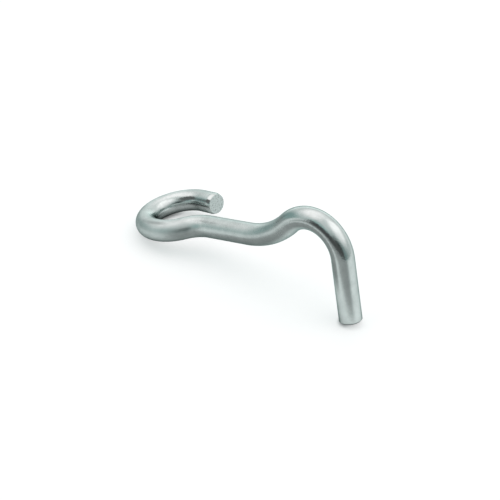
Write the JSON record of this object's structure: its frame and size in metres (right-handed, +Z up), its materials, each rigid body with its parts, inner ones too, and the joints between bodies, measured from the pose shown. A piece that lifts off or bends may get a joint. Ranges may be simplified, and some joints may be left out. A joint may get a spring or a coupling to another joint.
{
  "type": "door stop hook",
  "caption": "Bent round bar hook with an open eye at one end and a turned-down leg at the other, to hold a door or gate.",
  "frame": {"origin": "centre of the footprint's bounding box, on the surface that the hook stands on", "axes": "+X along the ground under the shank, from the eye towards the leg; +Z up; the free end of the eye lies towards +Y"},
  "size_m": [0.1014, 0.033, 0.0362],
  "materials": {
    "hook": "satin, fine blasted grain"
  },
  "bodies": {
    "root": {"hook": "hook"}
  },
  "joints": []
}
